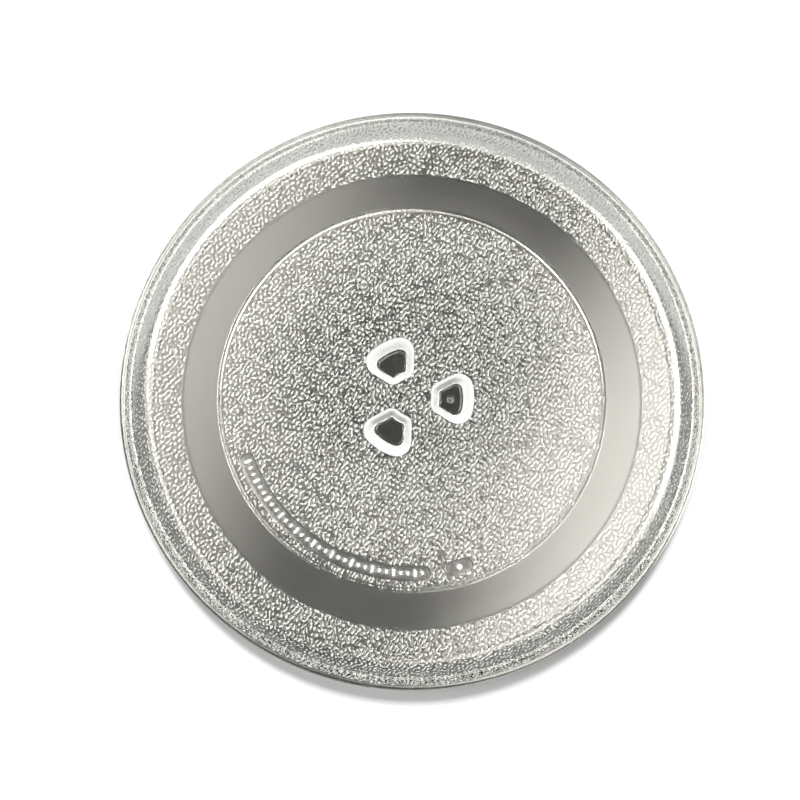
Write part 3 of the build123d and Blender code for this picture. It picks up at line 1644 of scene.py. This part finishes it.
@dataclass(frozen=True)
class SoftLamp:
    """Square soft lamp that points at the plate.

    Attributes:
        name: name of the lamp.
        place: its place in millimetres.
        size: its width in millimetres.
        power: its power in watts.
    """

    name: str
    place: tuple[float, float, float]
    size: float
    power: float

    def build(self) -> bpy.types.Object:
        """Hang the lamp.

        Returns:
            The lamp's object.
        """
        data = bpy.data.lights.new(self.name, "AREA")
        data.shape = "SQUARE"
        data.size = self.size * METRES_PER_MM
        data.energy = self.power
        data.cycles.use_multiple_importance_sampling = False
        lamp = place_object(self.name, data)
        lamp.location = Vector(self.place) * METRES_PER_MM
        lamp.rotation_euler = Vector(self.place).to_track_quat("Z", "Y").to_euler()
        return lamp


@dataclass(frozen=True)
class PlateCamera:
    """Camera that looks down on the plate from a little in front of its axis.

    Attributes:
        distance: distance from the plate's centre, in millimetres.
        lean: angle between the view and the plate's axis.
        turn: turn about the plate's axis from straight in front.
        focal_length: focal length in millimetres for the sensor's width.
        sensor_width: width of the sensor in millimetres.
        picture_size: width of the square picture in pixels.
        centre_pixel: where the plate's centre stands in the picture.
        target_height: height of that centre in millimetres.
        far_end: how far the camera sees, in metres.
    """

    distance: float = 700.0
    lean: float = math.radians(9.0)
    turn: float = math.radians(2.0)
    focal_length: float = 75.2
    sensor_width: float = 36.0
    picture_size: float = 800.0
    centre_pixel: Pair = (412.0, 394.0)
    target_height: float = 15.0
    far_end: float = 50.0

    def build(self) -> bpy.types.Object:
        """Place the camera and make it the scene's.

        Returns:
            The camera's object.
        """
        data = bpy.data.cameras.new("camera")
        data.sensor_width = self.sensor_width
        data.lens = self.focal_length
        data.shift_x = (self.picture_size / 2 - self.centre_pixel[0]) / self.picture_size
        data.shift_y = (self.centre_pixel[1] - self.picture_size / 2) / self.picture_size
        data.clip_end = self.far_end
        camera = place_object("camera", data)
        lean = Matrix.Rotation(self.lean, 4, "X")
        turn = Matrix.Rotation(self.turn, 4, "Z")
        aim = Matrix.Translation(Vector((0.0, 0.0, self.target_height)) * METRES_PER_MM)
        back = Matrix.Translation(Vector((0.0, 0.0, self.distance)) * METRES_PER_MM)
        camera.matrix_world = aim @ turn @ lean @ back
        bpy.context.scene.camera = camera
        return camera


@dataclass(frozen=True)
class Room:
    """Room that the glass mirrors: white up to its horizon, with lights on a pale ceiling above.

    Places are parts of the unit vector that points there from the plate. Where a size is a pair,
    a light changes smoothly from the first to the second.

    Attributes:
        glow: strength for rays that come from a matt surface.
        pale: strength of the ceiling.
        colour: colour of the ceiling and its lights.
        horizon: height at which the white ends, and at which the ceiling is full.
        panel_axis: direction from the left overhead panel to the right one.
        right_panel: strength of the right panel.
        left_panel: strength of the left panel.
        panel_edge: where a panel starts, along the axis.
        panel_fade: where it ends, along the axis.
        panel_reach: where it ends, across the axis.
        far_pale: strength that the ceiling gains beyond the light round the oval.
        oval_light: strength of the light round the dark oval above the plate's centre.
        oval_size: half width and half depth of the oval.
        oval_place: place of its middle.
        oval_edge: how far its edge reaches, in parts of its size squared.
        oval_reach: where the light round the oval ends.
        side_light: strength of the side lights.
        side_axes: directions in which they stand.
        side_start: where a side light starts, along its direction.
        side_reach: where it ends, across its direction.
        side_low: height at which it starts.
        side_high: height at which it ends.
    """

    glow: float = 0.06
    pale: float = 0.6
    colour: Colour = (1.0, 0.97, 0.89)
    horizon: Pair = (0.30, 0.50)
    panel_axis: Pair = (0.95, -0.31)
    right_panel: float = 8.6
    left_panel: float = 4.8
    panel_edge: Pair = (0.03, 0.15)
    panel_fade: Pair = (0.25, 0.5)
    panel_reach: Pair = (0.3, 0.6)
    far_pale: float = 0.8
    oval_light: float = 1.8
    oval_size: Pair = (0.085, 0.052)
    oval_place: Pair = (-0.007, 0.012)
    oval_edge: Pair = (0.5, 1.7)
    oval_reach: Pair = (0.095, 0.125)
    side_light: float = 17.0
    side_axes: tuple[Pair, ...] = ((-1.0, 0.0), (0.87, -0.50))
    side_start: Pair = (0.0, 0.25)
    side_reach: Pair = (0.35, 0.60)
    side_low: Pair = (0.28, 0.42)
    side_high: Pair = (0.84, 0.93)

    def overhead(self, x: Value, ahead: Value) -> Value:
        """Work out the lights right above the plate.

        Args:
            x: place to the right.
            ahead: place to the back, from the middle of the lights.

        Returns:
            The strength of the panels and of the light round the oval.
        """
        along = self.panel_axis[0] * x + self.panel_axis[1] * ahead
        across = self.panel_axis[0] * ahead - self.panel_axis[1] * x
        window = abs(across).fall(*self.panel_reach) * abs(along).fall(*self.panel_fade)
        right = along.ease(*self.panel_edge) * self.right_panel
        left = (0.0 - along).ease(*self.panel_edge) * self.left_panel
        wide = (x - self.oval_place[0]) * (1.0 / self.oval_size[0])
        tall = (ahead - self.oval_place[1]) * (1.0 / self.oval_size[1])
        far = (x * x + ahead * ahead).ease(*(reach * reach for reach in self.oval_reach))
        oval = (wide * wide + tall * tall).ease(*self.oval_edge) * (1.0 - far)
        return window * (right + left + far * self.far_pale) + oval * self.oval_light

    def sides(self, x: Value, y: Value, z: Value) -> Value:
        """Work out the side lights.

        Args:
            x: place to the right.
            y: place to the back.
            z: height.

        Returns:
            Their strength.
        """
        lights = 0.0
        for axis_x, axis_y in self.side_axes:
            out = (axis_x * x + axis_y * y).ease(*self.side_start)
            lights = lights + out * abs(axis_x * y - axis_y * x).fall(*self.side_reach)
        return z.ease(*self.side_low) * z.fall(*self.side_high) * self.side_light * lights

    def build(self, lean: float) -> bpy.types.World:
        """Set the room round the scene.

        Args:
            lean: angle between the camera's view and the plate's axis. The overhead lights hang
                where the plate mirrors them to the camera.

        Returns:
            The world.
        """
        world = bpy.data.worlds.new("room")
        world.use_nodes = True
        world.cycles.sampling_method = "NONE"
        graph = Graph(world.node_tree)
        towards = graph.node("ShaderNodeTexCoord", {}, {}, "Generated")
        x, y, z = (graph.node("ShaderNodeSeparateXYZ", {}, {0: towards}, axis) for axis in "XYZ")
        ceiling = self.pale + self.overhead(x, y - math.sin(lean)) + self.sides(x, y, z)
        level = z.fall(*self.horizon)
        seen = level + (1.0 - level) * ceiling
        first = graph.unscattered()
        strength = first * seen + (1.0 - first) * self.glow
        colour = graph.mix_colour(level, self.colour, WHITE)
        glow = graph.node("ShaderNodeBackground", {}, {"Color": colour, "Strength": strength})
        graph.node("ShaderNodeOutputWorld", {}, {"Surface": glow})
        bpy.context.scene.world = world
        return world


@dataclass
class Studio:
    """White table, soft lamps, a pale room and the camera above the plate.

    Attributes:
        floor_size: width of the table top in millimetres.
        floor_drop: gap between the lug tips and the table top, in millimetres.
        lamps: the soft lamps.
        room: the room round the table.
        camera: the camera.
    """

    floor_size: float = 8000.0
    floor_drop: float = 0.05
    lamps: tuple[SoftLamp, ...] = (
        SoftLamp("back_lamp", (-100.0, 1100.0, 2070.0), size=450.0, power=43.0),
        SoftLamp("left_lamp", (-1150.0, -50.0, 2150.0), size=1000.0, power=13.3),
        SoftLamp("right_lamp", (1150.0, -600.0, 2150.0), size=1000.0, power=15.8),
    )
    room: Room = Room()
    camera: PlateCamera = PlateCamera()

    def add_floor(self) -> bpy.types.Object:
        """Lay the white table top.

        Returns:
            The table top's object.
        """
        half = self.floor_size * METRES_PER_MM / 2
        level = -self.floor_drop * METRES_PER_MM
        corners = [(x * half, y * half, level) for x, y in ((-1, -1), (1, -1), (1, 1), (-1, 1))]
        mesh = bpy.data.meshes.new("floor")
        mesh.from_pydata(corners, [], [(0, 1, 2, 3)])
        mesh.materials.append(PaleFloor().build())
        return place_object("floor", mesh)

    def build(self) -> None:
        """Set up the table, the lamps, the room and the camera."""
        scene = bpy.context.scene
        scene.view_settings.view_transform = "Standard"
        scene.cycles.caustics_reflective = False
        scene.cycles.caustics_refractive = False
        self.add_floor()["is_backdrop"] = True
        for lamp in self.lamps:
            lamp.build()
        self.room.build(self.camera.lean)
        self.camera.build()


def main() -> None:
    """Build the plate and the studio."""
    logging.basicConfig(level=logging.INFO, format="%(name)s: %(message)s")
    low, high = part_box(CAD_NODE)
    width = round((high.x - low.x) / METRES_PER_MM, 1)
    plate = TurntablePlate(PlateSection(plate_radius=width / 2))
    piece = plate.build()
    plate.dress(piece)
    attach(piece, BODY)
    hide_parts(CAD_NODE)
    LOG.info("%s: %d faces", piece.name, len(piece.data.polygons))
    Studio().build()
    LOG.info("studio: floor, lamps, room and camera")
    boxes = {"cad": cad_box, "visual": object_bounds()}
    {name: [list(corner) for corner in box] for name, box in boxes.items()}


if __name__ == "__main__":
    main()
